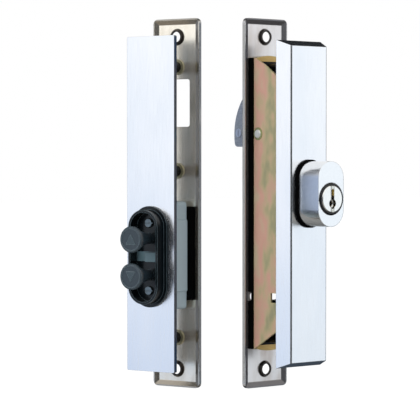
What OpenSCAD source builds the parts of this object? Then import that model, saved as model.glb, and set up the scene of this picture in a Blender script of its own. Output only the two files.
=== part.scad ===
// Lock set for the meeting stiles of a pair of sliding doors.
// The outer unit has the key cylinder and the swinging hook.
// The inner unit has two push buttons on a rocker and the window that takes the hook.
// +Z is up and -Y is the outdoor face of the outer unit. The origin is the centre of the outer tray's back.
// Depths are measured from the tray's back towards the front, so a depth d lies at y = -d.

/* [Trays] */
// Width of each tray
tray_w = 31.8; // [30.8:0.1:40]
// Height of each tray
tray_h = 210.6; // [206:0.2:240]
// Sheet thickness of the trays
tray_t = 0.9; // [0.6:0.1:1.4]
// Depth of the raised rim
rim_depth = 2.2; // [1.8:0.1:3]
// Width of the flat top of the rim
rim_w = 0.8; // [0.5:0.1:1.2]
// Width of the sloped wall inside the rim
rim_slope = 2.5; // [1:0.1:2.6]
// Corner radius of the trays
tray_r = 3; // [1:0.5:4]
// Distance between the two fixing holes of a tray
fixing_pitch = 190; // [188:1:194]
// Diameter of the fixing holes
fixing_d = 6; // [4:0.1:6.5]
// Thickness of the black packings
packing_t = 3.4; // [2.6:0.1:3.8]

/* [Lock case] */
// Outer width of the lock case
case_w = 22; // [21.4:0.2:24]
// Height of the lock case
case_h = 165.4; // [160:0.2:168]
// Sheet thickness of the lock case
case_t = 1.2; // [1:0.1:1.3]
// Radius of the curved slope at the top of the case
case_corner_r = 80; // [60:1:100]
// Depth at which the outdoor face of the outer door leaf lies
outer_leaf = 29.7; // [29.6:0.1:33]

/* [Outer cover] */
// Width of the cover where it meets the door
cover_base_w = 33.3; // [32:0.1:36]
// Width of the cover's front face
cover_front_w = 26.6; // [24:0.1:28]
// Height of the cover where it meets the door
cover_base_h = 183; // [180:0.2:188]
// Height of the cover's front face
cover_front_h = 176.2; // [172:0.2:178]
// Depth of the outer cover
cover_d = 9.1; // [7:0.1:12]
// Width of the flat along the cover's two long front edges
cover_edge = 0.6; // [0.3:0.1:0.9]
// Wall thickness of the outer cover
cover_wall = 1.2; // [0.8:0.1:1.4]
// Thickness of the plate that closes the back of the cover
backplate_t = 1.5; // [1:0.1:2]

/* [Key cylinder] */
// Width of the cylinder housing
housing_w = 18.8; // [18.4:0.1:22]
// Height of the cylinder housing
housing_h = 36.3; // [35:0.1:42]
// How far the housing stands out from the cover
housing_d = 18; // [17:0.1:24]
// Height of the housing's centre above the tray's centre
housing_z = 6; // [5:0.1:7]
// Height of the key plug's axis above the tray's centre
plug_z = 3.3; // [2.9:0.1:4]
// Radius of the key plug's shaft
plug_r = 6.5; // [6:0.1:6.8]
// Radius of the key plug's head
plug_head_r = 7.5; // [7:0.1:7.8]
// How far the plug's head stands out of the housing
plug_proud = 1.2; // [0.6:0.1:2]
// Width of the keyway
keyway_w = 2; // [1.6:0.1:2.2]
// Angle that the key turns to unlock
key_turn = 90; // [90]
// Number of pin stacks
pin_count = 5; // [3:1:5]
// Distance between pin stacks
pin_pitch = 2.3; // [2.3:0.05:2.4]

/* [Hook] */
// Radius of the hook's outer edge about its pivot
hook_r = 31.7; // [30:0.1:32]
// Thickness of the hook
hook_t = 4; // [3:0.1:4.4]
// Height of the hook's pivot above the tray's centre
pivot_z = 39.6; // [38:0.1:42]
// Depth of the hook's pivot in front of the tray's back
pivot_depth = 8; // [8:0.1:9]
// Radius of the pivot pin
pivot_r = 1.75; // [1.4:0.05:1.75]
// Radius of the circle on which both drive pins travel
crank_r = 6.5; // [6:0.1:6.6]

/* [Inner unit] */
// Depth at which the indoor face of the inner door leaf lies
inner_leaf = 25; // [24:0.1:28]
// Width of the inner cover
inner_cover_w = 32.3; // [31:0.1:34]
// Height of the inner cover
inner_cover_h = 188.6; // [184:0.2:194]
// Depth of the inner cover
inner_cover_d = 2.6; // [2:0.1:4]
// Height of the window that takes the hook
window_h = 27.2; // [26:0.1:29]
// Width of the window that takes the hook
window_w = 17; // [16:0.1:22]
// Height of the window's centre above the tray's centre
window_z = 57.3; // [56:0.1:58]
// Width of the button case
button_case_w = 18.4; // [17:0.1:20]
// Height of the button case
button_case_h = 61.2; // [58:0.1:64]
// Height of the rocker's pivot above the tray's centre
rocker_z = -29.6; // [-30.6:0.1:-28.6]
// Distance between the two buttons
button_pitch = 20.6; // [20:0.1:22]
// Radius of a button's head
button_r = 7.3; // [7:0.1:8.4]
// Radius of a button's stem
stem_r = 3; // [2.6:0.1:3.2]
// Travel of a button each way from rest
button_travel = 3; // [2:0.1:3.2]
// Width of the escutcheon's rim
bezel_w = 20; // [19:0.1:22]
// Height of the escutcheon's rim
bezel_h = 53; // [52.4:0.1:58]
// How far the escutcheon's rim stands out from the cover
bezel_d = 7.6; // [6:0.1:9]

/* [Display] */
// Sideways place of the inner unit beside the outer one
inner_x = -37.4; // [-60:0.1:-34]
// Depth place of the inner unit beside the outer one
inner_y = 31.5; // [24:0.1:60]
// Turn of the inner unit about the vertical
inner_turn = -73; // [-90:1:-60]

/* [Hidden] */
$fn = 64;
cut = 1;
fit = 0.05;
gap = 0.3;
half_key = key_turn / 2;
case_in = case_w / 2 - case_t;
packing_f = tray_t + packing_t;
web_f = packing_f + case_t;
packing_w = tray_w - 2 * rim_w - 2 * rim_slope - 0.2;
packing_h = case_h;
cover_f = outer_leaf + cover_d;
housing_f = cover_f + housing_d;
post_z = case_h / 2 - 5.7;
post_r = 2.5;
screw_r = 1.5;
screw_head_r = 2.8;
fixing_rise = 1.6;
fixing_sink = 1.5;
fixing_cone_r = 4.7;
drain_z = -52.9;
drain_r = 2.7;
drain_in = 3;
drain_out = 11;
drain_web = 8;
drain_skin = 0.7;
ear_rise = 1.4;
ear_relief = 0.5;
web_short = 0.9;
chamfer_slope = 0.58;
shoulder_angle = 22;
case_window = [[18.8, 25.8], [-55.6, -50.2]];
gasket_t = 1.5;
gasket_over = 0.9;
barrel_r = 8.5;
barrel_f = 22.15;
collar_r = 9;
collar_d = 2;
plug_tail_f = 19.1;
clip_t = 1;
cam_t = 3;
cam_r = 8.2;
cam_f = plug_tail_f - cam_t;
cam_pin_r = 1.25;
housing_screw_dz = 14.3;
housing_screw_tip = 3.5;
pin_r = 1;
pin_front = housing_f - collar_d - 1.6;
pin_top = plug_z + 13.4;
driver_len = 3.2;
shear_gap = 0.2;
cap_t = 1.2;
cap_w = 3.2;
spring_wire = 0.3;
spring_r = 0.75;
spring_turns = 3;
slide_x = -5.5;
slide_t = 1.5;
slide_f = 11;
slide_deep = 9.6;
slide_travel = 2 * crank_r * sin(half_key);
slide_low = -46;
flange_w = case_in + 5.1;
guide_f = 17.1;
guide_r = 1.5;
guide_slot_r = guide_r + fit;
guide_high = 24;
guide_low = -38;
drive_r = 1.25;
drive_clear = 0.3;
drive_z = pivot_z + crank_r * sin(half_key);
slide_high = drive_z + 5.8;
hub_r = 7;
notch_in = 14;
notch_out = 22;
beak_drop = 7.2;
hook_top_angle = 39;
notch_angle = 22;
tip_round = 2.5;
insert_r = 2.5;
insert_at = [27.7, 0.8];
spacer_r = 2.4;
rivet_head_r = 2.7;
rivet_head_t = 1;
rivet_flange_r = 3.6;
rivet_flange_t = 0.3;
inner_cover_f = inner_leaf + inner_cover_d;
inner_sheet = 1.2;
inner_under = inner_cover_f - inner_sheet;
inner_post_high = 77.8;
inner_post_mid = 18.5;
inner_post_low = -77;
inner_post_zs = [inner_post_high, inner_post_mid, inner_post_low];
inner_post_r = 3.1;
inner_flange_r = 4.5;
inner_flange_t = 0.8;
inner_packing_low = -55;
inner_packing_high = -1.8;
button_case_z = -29.4;
button_wall = 1.5;
floor_f = packing_f + button_wall;
floor_t = 1;
bezel_wall = 1.4;
base_over = 2;
base_t = 1.3;
rib_h = 5.4;
rib_f = 4.4;
sleeve_r = 4.6;
sleeve_back = 2.4;
escutcheon_screw_dz = 19;
escutcheon_screw_r = 1.2;
escutcheon_head_r = 2.7;
escutcheon_head_t = 1.4;
button_reach = 19.4;
head_f = inner_cover_f + button_reach;
head_t = 2.8;
head_edge = 0.6;
face_sink = 0.4;
arrow_w = 6.4;
arrow_h = 5.6;
neck_f = inner_cover_f + floor_t + button_travel + 0.2;
rocker_f = 13.6;
rocker_top = 2;
rocker_under = 1.5;
rocker_half = 12.8;
rocker_w = 8;
rocker_pin_r = 1.5;
rocker_angle = 0.275 / 3 * button_travel * 180 / PI;
tip_f = rocker_f + rocker_top + 0.35 + stem_r;
lever_w = 3;
lever_thick = 3;
lever_back = 8;
button_clip_t = 0.8;
clip_f = inner_cover_f - sleeve_back - 0.2 - button_travel - button_clip_t;
button_clip_r = 4.2;

// Box between two depths, given by its sides
module block(x0, x1, f0, f1, z0, z1) {
  translate([x0, -f1, z0])
    cube([x1 - x0, f1 - f0, z1 - z0]);
}

// Round bar along the depth, with a radius at each end
module bar(r, f0, f1, r_front = -1) {
  translate([0, -f0, 0])
    rotate([90, 0, 0])
      cylinder(h = f1 - f0, r1 = r, r2 = r_front < 0 ? r : r_front);
}

// Round bar from left to right at one depth and height
module cross_bar(r, x0, x1, f, z) {
  translate([x0, -f, z])
    rotate([0, 90, 0])
      cylinder(h = x1 - x0, r = r);
}

// Flat outline in depth and height, drawn with y and z, given a width in x
module side_sheet(x0, x1) {
  translate([x0, 0, 0])
    rotate([90, 0, 90])
      linear_extrude(x1 - x0)
        children();
}

// Plate with round corners, facing the front
module round_plate(w, h, r, f0, f1) {
  block(-w / 2 + r, w / 2 - r, f0, f1, -h / 2, h / 2);
  block(-w / 2, w / 2, f0, f1, -h / 2 + r, h / 2 - r);
  for (sx = [-1, 1], sz = [-1, 1])
    translate([sx * (w / 2 - r), 0, sz * (h / 2 - r)])
      bar(r, f0, f1);
}

// Plate with half round ends
module stadium(w, h, f0, f1) {
  block(-w / 2, w / 2, f0, f1, -(h - w) / 2, (h - w) / 2);
  for (sz = [-1, 1])
    translate([0, 0, sz * (h - w) / 2])
      bar(w / 2, f0, f1);
}

// Block whose four sides slope evenly from one size to another
module bevel_block(w0, h0, w1, h1, f0, f1) {
  intersection() {
    translate([0, 0, -max(h0, h1) / 2])
      linear_extrude(max(h0, h1))
        polygon([[-w0 / 2, -f0], [w0 / 2, -f0], [w1 / 2, -f1], [-w1 / 2, -f1]]);
    side_sheet(-max(w0, w1) / 2, max(w0, w1) / 2)
      polygon([[-f0, -h0 / 2], [-f0, h0 / 2], [-f1, h1 / 2], [-f1, -h1 / 2]]);
  }
}

// Countersunk screw whose head is flush with the tray's back
module back_screw(tip_f) {
  bar(screw_head_r, 0, tray_t, screw_r);
  bar(screw_r, tray_t, tip_f);
}

// Pressed tray with its sloped rim and the two dimpled fixing holes
module tray_shell() {
  grow = rim_slope / (rim_depth - tray_t);
  floor_w = tray_w - 2 * (rim_w + rim_slope);
  floor_h = tray_h - 2 * (rim_w + rim_slope);
  open_w = floor_w + 2 * grow * (rim_depth + cut - tray_t);
  open_h = floor_h + 2 * grow * (rim_depth + cut - tray_t);
  difference() {
    union() {
      difference() {
        round_plate(tray_w, tray_h, tray_r, 0, rim_depth);
        bevel_block(floor_w, floor_h, open_w, open_h, tray_t, rim_depth + cut);
      }
      for (s = [-1, 1])
        translate([0, 0, s * fixing_pitch / 2])
          bar(fixing_cone_r, tray_t - 0.2, tray_t + fixing_rise, fixing_d / 2 + 0.9);
    }
    for (s = [-1, 1])
      translate([0, 0, s * fixing_pitch / 2]) {
        bar(fixing_d / 2, -cut, tray_t + fixing_rise + cut);
        bar(fixing_d / 2 + fixing_sink, -0.001, fixing_sink, fixing_d / 2);
      }
  }
}

// Outline of the slot that the hook swings through, in a sheet
module hook_slot(f0, f1, half_w) {
  block(-half_w, half_w, f0, f1, pivot_z - beak_drop - 1.4, pivot_z + hook_r + 1);
}

// Countersunk hole for a post screw
module post_screw_hole(f_end) {
  bar(screw_head_r + 0.1, -0.001, tray_t + 0.001, screw_r + 0.1);
  bar(screw_r + 0.1, -cut, f_end);
}

// Lying slot with round ends, at the height of the drain
module drain_slot(x0, x1, f0, f1) {
  block(x0 + drain_r, x1 - drain_r, f0, f1, drain_z - drain_r, drain_z + drain_r);
  for (x = [x0 + drain_r, x1 - drain_r])
    translate([x, 0, drain_z])
      bar(drain_r, f0, f1);
}

module outer_tray() {
  color("lightgray")
    difference() {
      tray_shell();
      hook_slot(-cut, tray_t + cut, hook_t / 2 + 0.6);
      for (s = [-1, 1])
        translate([0, 0, s * post_z])
          post_screw_hole(tray_t + cut);
      drain_slot(-drain_out, -drain_in, -cut, tray_t + cut);
      drain_slot(drain_in, drain_out, -cut, tray_t + cut);
    }
}

module outer_packing() {
  color("black")
    difference() {
      block(-packing_w / 2, packing_w / 2, tray_t, packing_f, -packing_h / 2, packing_h / 2);
      hook_slot(tray_t - cut, packing_f + cut, hook_t / 2 + 1.2);
      for (s = [-1, 1])
        translate([0, 0, s * post_z])
          bar(screw_r + 0.1, tray_t - cut, packing_f + cut);
      drain_slot(-drain_web - 1, drain_web + 1, tray_t - cut, packing_f + cut);
      block(-packing_w, packing_w, tray_t - cut, packing_f - drain_skin, drain_z - drain_r,
        drain_z + drain_r);
    }
}

// One side wall of the case: a curved slope at the top and a straight one at the bottom
module case_side(x0, x1) {
  top = case_h / 2;
  deep = outer_leaf - packing_f;
  side_sheet(x0, x1)
    difference() {
      union() {
        polygon([
          [-packing_f, -top], [-packing_f, 0], [-outer_leaf, 0], [-outer_leaf,
            -top + chamfer_slope * deep]]);
        intersection() {
          translate([
            case_corner_r * sin(shoulder_angle) - packing_f, top - case_corner_r * cos(shoulder_angle)])
            circle(case_corner_r, $fn = 256);
          polygon([
            [-packing_f, -cut], [-packing_f, top + cut], [-outer_leaf, top + cut], [-outer_leaf, -cut]]);
        }
      }
      translate([-case_window[0][1], case_window[1][0]])
        square([case_window[0][1] - case_window[0][0], case_window[1][1] - case_window[1][0]]);
    }
}

module lock_case() {
  ear_half = case_in - ear_relief;
  ear_r = (ear_half * ear_half + ear_rise * ear_rise) / (2 * ear_rise);
  color("burlywood")
    difference() {
      union() {
        case_side(-case_w / 2, -case_in);
        case_side(case_in, case_w / 2);
        block(-case_w / 2 + 0.1, case_w / 2 - 0.1, packing_f, web_f, -case_h / 2 + web_short,
          case_h / 2 - web_short);
        for (s = [-1, 1])
          intersection() {
            translate([0, 0, s * (case_h / 2 + ear_rise - ear_r)])
              bar(ear_r, packing_f, web_f);
            block(-ear_half, ear_half, packing_f, web_f, s > 0 ? post_z : -case_h,
              s > 0 ? case_h : -post_z);
          }
      }
      hook_slot(packing_f - cut, web_f + cut, hook_t / 2 + 1.2);
      drain_slot(-drain_web, drain_web, packing_f - cut, web_f + cut);
      for (s = [-1, 1])
        translate([0, 0, s * post_z])
          bar(screw_r + 0.1, packing_f - cut, web_f + cut);
      cross_bar(pivot_r, -case_w, case_w, pivot_depth, pivot_z);
      cross_bar(guide_r, 0, case_w, guide_f, guide_high);
      cross_bar(guide_r, 0, case_w, guide_f, guide_low);
    }
}

module outer_posts() {
  color("silver")
    for (s = [-1, 1])
      translate([0, 0, s * post_z])
        difference() {
          bar(post_r, web_f, outer_leaf);
          bar(screw_r, web_f - cut, web_f + 9);
        }
}

module outer_post_screws() {
  color("dimgray")
    for (s = [-1, 1])
      translate([0, 0, s * post_z])
        difference() {
          back_screw(web_f + 8);
          for (a = [0, 90])
            rotate([0, a, 0])
              block(-1.6, 1.6, -cut, 0.6, -0.35, 0.35);
        }
}

module backplate() {
  slope_w = (cover_base_w - cover_front_w) / cover_d;
  slope_h = (cover_base_h - cover_front_h) / cover_d;
  plate_w = cover_base_w - 2 * cover_wall - slope_w * backplate_t - 2 * fit;
  plate_h = cover_base_h - 2 * cover_wall - slope_h * backplate_t - 2 * fit;
  color("gainsboro")
    difference() {
      block(-plate_w / 2, plate_w / 2, outer_leaf, outer_leaf + backplate_t, -plate_h / 2, plate_h / 2);
      translate([0, 0, plug_z])
        bar(barrel_r + gap, outer_leaf - cut, outer_leaf + backplate_t + cut);
      for (s = [-1, 1])
        translate([0, 0, housing_z + s * housing_screw_dz])
          bar(screw_r, outer_leaf - cut, outer_leaf + backplate_t + cut);
      for (s = [-1, 1])
        translate([0, 0, s * post_z])
          bar(screw_r, outer_leaf - cut, outer_leaf + backplate_t + cut);
    }
}

module outer_cover() {
  slope_w = (cover_base_w - cover_front_w) / cover_d;
  slope_h = (cover_base_h - cover_front_h) / cover_d;
  in_w = cover_base_w - 2 * cover_wall;
  in_h = cover_base_h - 2 * cover_wall;
  in_d = cover_d - cover_wall;
  edge_x = cover_front_w / 2 + slope_w / 2 * cover_edge;
  color("aliceblue")
    difference() {
      intersection() {
        bevel_block(cover_base_w, cover_base_h, cover_front_w, cover_front_h, outer_leaf, cover_f);
        translate([0, 0, -cover_base_h / 2])
          linear_extrude(cover_base_h)
            polygon([
              [-cover_base_w / 2, -outer_leaf], [cover_base_w / 2, -outer_leaf], [edge_x,
                cover_edge - cover_f],
              [cover_front_w / 2 - cover_edge, -cover_f], [cover_edge - cover_front_w / 2, -cover_f],
              [-edge_x, cover_edge - cover_f]]);
      }
      bevel_block(in_w + slope_w * cut, in_h + slope_h * cut, in_w - slope_w * in_d, in_h - slope_h * in_d,
        outer_leaf - cut, cover_f - cover_wall);
      translate([0, 0, plug_z])
        bar(barrel_r + gap, outer_leaf, cover_f + cut);
      for (s = [-1, 1])
        translate([0, 0, housing_z + s * housing_screw_dz])
          bar(screw_r, outer_leaf, cover_f + cut);
    }
}

module cylinder_gasket() {
  color("black")
    translate([0, 0, housing_z])
      difference() {
        stadium(housing_w + 2 * gasket_over, housing_h + 2 * gasket_over, cover_f, cover_f + gasket_t);
        stadium(housing_w + 2 * fit, housing_h + 2 * fit, cover_f - cut, cover_f + gasket_t + cut);
      }
}

// Chambers of the pin stacks, from the keyway up to the cap
module pin_chambers(z0, z1, r) {
  for (i = [0 : pin_count - 1])
    translate([0, -pin_front + i * pin_pitch, z0])
      cylinder(h = z1 - z0, r = r);
}

module cylinder_housing() {
  color("lightsteelblue")
    difference() {
      union() {
        translate([0, 0, housing_z])
          stadium(housing_w, housing_h, cover_f, housing_f);
        translate([0, 0, plug_z])
          bar(barrel_r, barrel_f, cover_f + cut);
      }
      translate([0, 0, plug_z]) {
        bar(plug_r + fit, barrel_f - cut, housing_f + cut);
        bar(collar_r, housing_f - collar_d, housing_f + cut);
      }
      pin_chambers(plug_z + 3, pin_top, pin_r + fit);
      block(-cap_w / 2, cap_w / 2, cover_f - cut, housing_f - collar_d, pin_top - 0.01, pin_top + cap_t);
      for (s = [-1, 1])
        translate([0, 0, housing_z + s * housing_screw_dz])
          bar(screw_r, cover_f - cut, cover_f + housing_screw_tip + 0.4);
    }
}

module cylinder_screws() {
  color("dimgray")
    for (s = [-1, 1])
      translate([0, 0, housing_z + s * housing_screw_dz])
        difference() {
          union() {
            bar(screw_head_r, outer_leaf - 1.5, outer_leaf);
            bar(screw_r, outer_leaf - 0.1, cover_f + housing_screw_tip);
          }
          block(-screw_head_r - cut, screw_head_r + cut, outer_leaf - 1.5 - cut, outer_leaf - 0.7, -0.4,
            0.4);
        }
}

module plug_collar() {
  color("black")
    translate([0, 0, plug_z])
      difference() {
        union() {
          bar(collar_r, housing_f - collar_d, housing_f);
          bar(collar_r, housing_f, housing_f + 0.7, collar_r - 0.7);
        }
        bar(plug_head_r + fit, housing_f - collar_d - cut, housing_f + plug_proud + cut);
      }
}

// Keyhole outline: a slot with a round part just below the middle
module keyway(f0, f1, reach, w, r) {
  block(-w / 2, w / 2, f0, f1, -reach, reach);
  translate([0, 0, -2.5])
    bar(r, f0, f1);
}

module key_plug() {
  color("whitesmoke")
    translate([0, 0, plug_z])
      difference() {
        union() {
          bar(plug_r, plug_tail_f, housing_f - collar_d);
          bar(plug_head_r, housing_f - collar_d, housing_f + plug_proud - 0.4);
          bar(plug_head_r, housing_f + plug_proud - 0.4, housing_f + plug_proud, plug_head_r - 0.4);
        }
        keyway(cover_f + 1, housing_f + plug_proud + cut, plug_r - 1.1, keyway_w, keyway_w + 0.1);
        keyway(housing_f - collar_d + 0.6, housing_f + plug_proud + cut, plug_head_r + cut,
          keyway_w + 0.6, keyway_w + 0.5);
        translate([0, 0, -plug_z])
          pin_chambers(plug_z + 1, plug_z + plug_r + cut, pin_r + fit);
        difference() {
          bar(plug_r + cut, plug_tail_f + 2, plug_tail_f + 2 + clip_t);
          bar(plug_r - 0.8, plug_tail_f + 1, plug_tail_f + 3 + clip_t);
        }
        bar(screw_r, plug_tail_f - cut, plug_tail_f + 7);
      }
}

module key_pins() {
  color("goldenrod")
    for (i = [0 : pin_count - 1])
      translate([0, -pin_front + i * pin_pitch, plug_z + 1.2]) {
        cylinder(h = 0.7, r1 = 0.3, r2 = pin_r);
        translate([0, 0, 0.7])
          cylinder(h = plug_r - 1.2 - 0.7 - shear_gap, r = pin_r);
      }
}

module driver_pins() {
  color("silver")
    pin_chambers(plug_z + plug_r + fit + 0.05, plug_z + plug_r + fit + 0.05 + driver_len, pin_r);
}

// Points of one ring of a coil's wire, at an angle along the coil
function ring_points(angle, coil, wire, rise, sides) = [
  for (k = [0 : sides - 1])
    let (a = 360 * k / sides, r = coil + wire / 2 * cos(a))
      [r * cos(angle), r * sin(angle), rise * angle / 360 + wire / 2 * sin(a)]];

// One unbroken coil of wire, with flat ends, as wide as its coil radius
module coil_spring(coil, wire, turns, length) {
  sides = 6;
  per_turn = 8;
  rings = turns * per_turn;
  rise = (length - wire) / turns;
  points = [for (i = [0 : rings]) each ring_points(360 * i / per_turn, coil, wire, rise, sides)];
  walls = [for (i = [0 : rings - 1], k = [0 : sides - 1], half = [0, 1])
    let (a = i * sides + k, b = i * sides + (k + 1) % sides)
      half == 0 ? [a, b, b + sides] : [a, b + sides, a + sides]];
  start = [for (k = [1 : sides - 2]) [0, k + 1, k]];
  finish = [for (k = [1 : sides - 2]) [rings * sides, rings * sides + k, rings * sides + k + 1]];
  echo(coil_gap = rise - wire);
  translate([0, 0, wire / 2])
    polyhedron(points, concat(walls, start, finish));
}

module pin_springs() {
  spring_base = plug_z + plug_r + fit + 0.05 + driver_len;
  color("silver")
    for (i = [0 : pin_count - 1])
      translate([0, -pin_front + i * pin_pitch, spring_base])
        coil_spring(spring_r, spring_wire, spring_turns, pin_top - spring_base);
}

module pin_cap() {
  color("goldenrod")
    block(-cap_w / 2 + 0.02, cap_w / 2 - 0.02, cover_f, housing_f - collar_d - 0.02, pin_top,
      pin_top + cap_t - 0.02);
}

module plug_clip() {
  color("dimgray")
    translate([0, 0, plug_z])
      difference() {
        bar(plug_r + 1.5, plug_tail_f + 2, plug_tail_f + 2 + clip_t);
        bar(plug_r - 0.8 + fit, plug_tail_f + 1, plug_tail_f + 3 + clip_t);
        block(-2.5, 2.5, plug_tail_f + 1, plug_tail_f + 3 + clip_t, -plug_r - 2, 0);
      }
}

module tail_cam() {
  color("silver")
    translate([0, 0, plug_z])
      difference() {
        union() {
          bar(4.4, cam_f, plug_tail_f);
          intersection() {
            bar(cam_r, cam_f, plug_tail_f);
            rotate([0, -half_key, 0])
              block(0, cam_r, cam_f, plug_tail_f, -3, 3);
          }
          rotate([0, -half_key, 0])
            translate([crank_r, 0, 0])
              bar(cam_pin_r, slide_f - 0.4, cam_f + cut);
        }
        bar(screw_r + 0.1, cam_f - cut, plug_tail_f + cut);
      }
}

module cam_screw() {
  color("dimgray")
    translate([0, 0, plug_z])
      difference() {
        union() {
          bar(2.4, cam_f - 1.5, cam_f);
          bar(screw_r, cam_f - 0.1, plug_tail_f + 6.5);
        }
        block(-3, 3, cam_f - 1.5 - cut, cam_f - 0.8, -0.4, 0.4);
      }
}

// Upright slot of the slide bar that a guide pin runs in
module guide_slot(z) {
  block(slide_x - cut, slide_x + slide_t + cut, guide_f - guide_slot_r, guide_f + guide_slot_r, z,
    z + slide_travel);
  for (dz = [0, slide_travel])
    cross_bar(guide_slot_r, slide_x - cut, slide_x + slide_t + cut, guide_f, z + dz);
}

module slide_bar() {
  pin_z = plug_z + crank_r * sin(half_key);
  pin_half = cam_pin_r + drive_clear;
  plate_low = plug_z + cam_r + slide_travel + 0.8;
  color("silver")
    difference() {
      union() {
        block(slide_x, slide_x + slide_t, slide_f, slide_f + slide_deep, plate_low, slide_high);
        block(slide_x, slide_x + slide_t, slide_f, slide_f + slide_deep, slide_low, -10);
        block(slide_x, slide_x + slide_t, slide_f, cam_f - 2, -11, plate_low + cut);
        block(slide_x, slide_x + flange_w, slide_f, slide_f + slide_t, pin_z - 5, pin_z + 5);
      }
      block(crank_r * cos(half_key) - pin_half, crank_r + pin_half, slide_f - cut, slide_f + slide_t + cut,
        pin_z - pin_half, pin_z + pin_half);
      guide_slot(guide_high);
      guide_slot(guide_low);
      block(slide_x - cut, slide_x + slide_t + cut, slide_f - cut,
        pivot_depth + crank_r + drive_r + drive_clear,
        drive_z - drive_r - drive_clear, drive_z + drive_r + drive_clear);
    }
}

module guide_pins() {
  collar = guide_r + 0.9;
  color("dimgray")
    for (z = [guide_high, guide_low]) {
      cross_bar(guide_r, slide_x - gap - 1, case_w / 2, guide_f, z);
      cross_bar(collar, slide_x - gap - 1, slide_x - gap, guide_f, z);
      cross_bar(collar, slide_x + slide_t + gap, slide_x + slide_t + gap + 1, guide_f, z);
      cross_bar(collar, case_w / 2, case_w / 2 + 0.7, guide_f, z);
    }
}

// Outline of the hook about its pivot: x towards the back and y up
module hook_outline() {
  tip_y = -beak_drop;
  top_corner = hook_r * [cos(hook_top_angle), sin(hook_top_angle)];
  top_start = hub_r * [cos(118), sin(118)];
  difference() {
    union() {
      circle(hub_r);
      translate(crank_r * [-cos(half_key), sin(half_key)])
        circle(drive_r + 1.2);
      intersection() {
        circle(hook_r, $fn = 128);
        polygon([
          [0, -hub_r], [notch_in, -hub_r], [notch_in, tip_y], [hook_r + cut, tip_y],
          top_corner + 0.4 * (top_corner - top_start), top_start]);
      }
    }
    intersection() {
      difference() {
        circle(notch_out);
        circle(notch_in);
      }
      polygon([[0, 0], [hook_r, -hook_r], 2 * hook_r * [cos(notch_angle), sin(notch_angle)]]);
    }
    difference() {
      translate([hook_r - tip_round, tip_y - cut])
        square([tip_round + cut, tip_round + cut]);
      translate([sqrt(pow(hook_r - tip_round, 2) - pow(tip_y + tip_round, 2)), tip_y + tip_round])
        circle(tip_round);
    }
    translate(insert_at)
      circle(insert_r);
    translate(crank_r * [-cos(half_key), sin(half_key)])
      circle(drive_r);
    circle(pivot_r + fit);
  }
}

// Places an outline drawn about the hook's pivot
module at_pivot(x0, x1) {
  translate([0, -pivot_depth, pivot_z])
    side_sheet(x0, x1)
      children();
}

module hook() {
  color("slategray")
    at_pivot(-hook_t / 2, hook_t / 2)
      hook_outline();
}

module hook_drive_pin() {
  color("silver")
    at_pivot(slide_x - 1, hook_t / 2)
      translate(crank_r * [-cos(half_key), sin(half_key)])
        circle(drive_r);
}

module hook_insert() {
  reach = hook_t / 2 + 0.4;
  color("lightsteelblue")
    difference() {
      at_pivot(-reach, reach)
        translate(insert_at)
          circle(insert_r);
      for (s = [-1, 1])
        translate([s * reach, -pivot_depth + insert_at[0], pivot_z + insert_at[1]])
          cube([0.6, 0.6, 2.8], center = true);
    }
}

module hook_pivot() {
  color("khaki")
    union() {
      cross_bar(pivot_r, -case_w / 2, case_w / 2, pivot_depth, pivot_z);
      for (s = [-1, 1])
        translate([s * case_w / 2, -pivot_depth, pivot_z])
          rotate([0, s * 90, 0]) {
            cylinder(h = rivet_flange_t, r = rivet_flange_r);
            cylinder(h = rivet_head_t, r1 = rivet_head_r, r2 = rivet_head_r - 0.6);
          }
    }
}

module hook_spacers() {
  inner_end = hook_t / 2 + fit;
  color("silver")
    for (s = [-1, 1])
      difference() {
        cross_bar(spacer_r, s > 0 ? inner_end : -case_in, s > 0 ? case_in : -inner_end, pivot_depth,
          pivot_z);
        cross_bar(pivot_r + 0.02, -case_w, case_w, pivot_depth, pivot_z);
      }
}

// Places the inner unit beside the outer one
module inner_place() {
  translate([inner_x, inner_y, 0])
    rotate([0, 0, inner_turn])
      children();
}

module inner_tray() {
  slot = lever_thick / 2 + rocker_f * sin(rocker_angle) + 1;
  color("lightgray")
    inner_place()
      difference() {
        tray_shell();
        translate([0, 0, window_z])
          round_plate(window_w, window_h, 1.5, -cut, tray_t + cut);
        for (z = inner_post_zs)
          translate([0, 0, z])
            post_screw_hole(tray_t + cut);
        block(-lever_w / 2 - 0.5, lever_w / 2 + 0.5, -cut, tray_t + cut, rocker_z - slot, rocker_z + slot);
      }
}

module inner_packing() {
  slot = lever_thick / 2 + rocker_f * sin(rocker_angle) + 1;
  color("black")
    inner_place()
      difference() {
        block(-packing_w / 2, packing_w / 2, tray_t, packing_f, inner_packing_low, inner_packing_high);
        block(-lever_w / 2 - 0.5, lever_w / 2 + 0.5, tray_t - cut, packing_f + cut, rocker_z - slot,
          rocker_z + slot);
      }
}

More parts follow.
